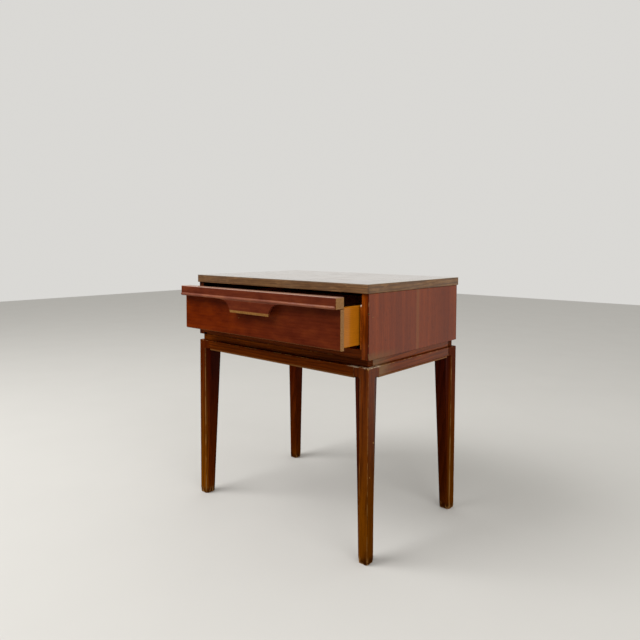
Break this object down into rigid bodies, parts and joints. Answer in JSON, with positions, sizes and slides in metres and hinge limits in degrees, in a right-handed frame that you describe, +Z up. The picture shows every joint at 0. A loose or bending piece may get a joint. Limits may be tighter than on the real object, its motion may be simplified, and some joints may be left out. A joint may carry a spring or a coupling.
{
  "type": "nightstand",
  "caption": "Bedside stand with laminated top, open-fronted case, sliding drawer with pull rail, and tapered fluted legs.",
  "frame": {"origin": "on the floor, at the middle of the stand's outline with the drawer drawn out as at rest", "axes": "+Z up, -Y towards the drawer's front, +X to the right when facing the drawer; pieces named left are at -X"},
  "size_m": [0.542, 0.4404, 0.5684],
  "materials": {
    "laminate": "glossy, worn wood-print laminate",
    "edge_band": "satin, grey-brown oak grain",
    "chipboard": "raw",
    "panel_wood": "semi-gloss reddish brown stain",
    "strip_wood": "satin",
    "unstained_wood": "matt",
    "hardboard": "matt",
    "plinth_wood": "satin dark stain",
    "leg_wood": "semi-gloss dark stain, worn",
    "block_wood": "matt",
    "screw_steel": "plain",
    "drawer_front_wood": "gloss red-brown stain, worn edges",
    "pine": "satin yellowed varnish",
    "plywood": "matt",
    "beech_dowel": "matt"
  },
  "bodies": {
    "stand": {"back_panel": "hardboard", "case_bottom": "panel_wood", "corner_block_back_left": "block_wood", "corner_block_back_right": "block_wood", "corner_block_front_left": "block_wood", "corner_block_front_right": "block_wood", "drawer_runner_left": "unstained_wood", "drawer_runner_right": "unstained_wood", "drawer_stop_left": "unstained_wood", "drawer_stop_right": "unstained_wood", "edge_band_back": "edge_band", "edge_band_front": "edge_band", "edge_band_left": "edge_band", "edge_band_right": "edge_band", "frame_rail_back": "leg_wood", "frame_rail_front": "leg_wood", "frame_rail_left": "leg_wood", "frame_rail_right": "leg_wood", "frame_screw_back_left": "screw_steel", "frame_screw_back_right": "screw_steel", "frame_screw_front_left": "screw_steel", "frame_screw_front_right": "screw_steel", "guide_strip_left": "strip_wood", "guide_strip_right": "strip_wood", "leg_back_left": "leg_wood", "leg_back_right": "leg_wood", "leg_front_left": "leg_wood", "leg_front_right": "leg_wood", "plinth_back": "plinth_wood", "plinth_block_back_left": "block_wood", "plinth_block_back_right": "block_wood", "plinth_block_front_left": "block_wood", "plinth_block_front_right": "block_wood", "plinth_front": "plinth_wood", "plinth_left": "plinth_wood", "plinth_right": "plinth_wood", "side_panel_left": "panel_wood", "side_panel_right": "panel_wood", "top_cleat_back": "unstained_wood", "top_cleat_left": "unstained_wood", "top_cleat_right": "unstained_wood", "top_core": "chipboard", "top_laminate": "laminate"},
    "drawer": {"drawer_back": "pine", "drawer_bottom": "plywood", "drawer_front_plate": "drawer_front_wood", "drawer_glue_block_left": "pine", "drawer_glue_block_right": "pine", "drawer_pull_rail": "drawer_front_wood", "drawer_side_left": "pine", "drawer_side_right": "pine", "front_dowel_centre": "beech_dowel", "front_dowel_left": "beech_dowel", "front_dowel_right": "beech_dowel"}
  },
  "joints": [
    {"name": "drawer_slide", "type": "slide", "parent": "stand", "child": "drawer", "axis": [0, -1, 0], "range_m": [-0.0733, 0.187]}
  ]
}
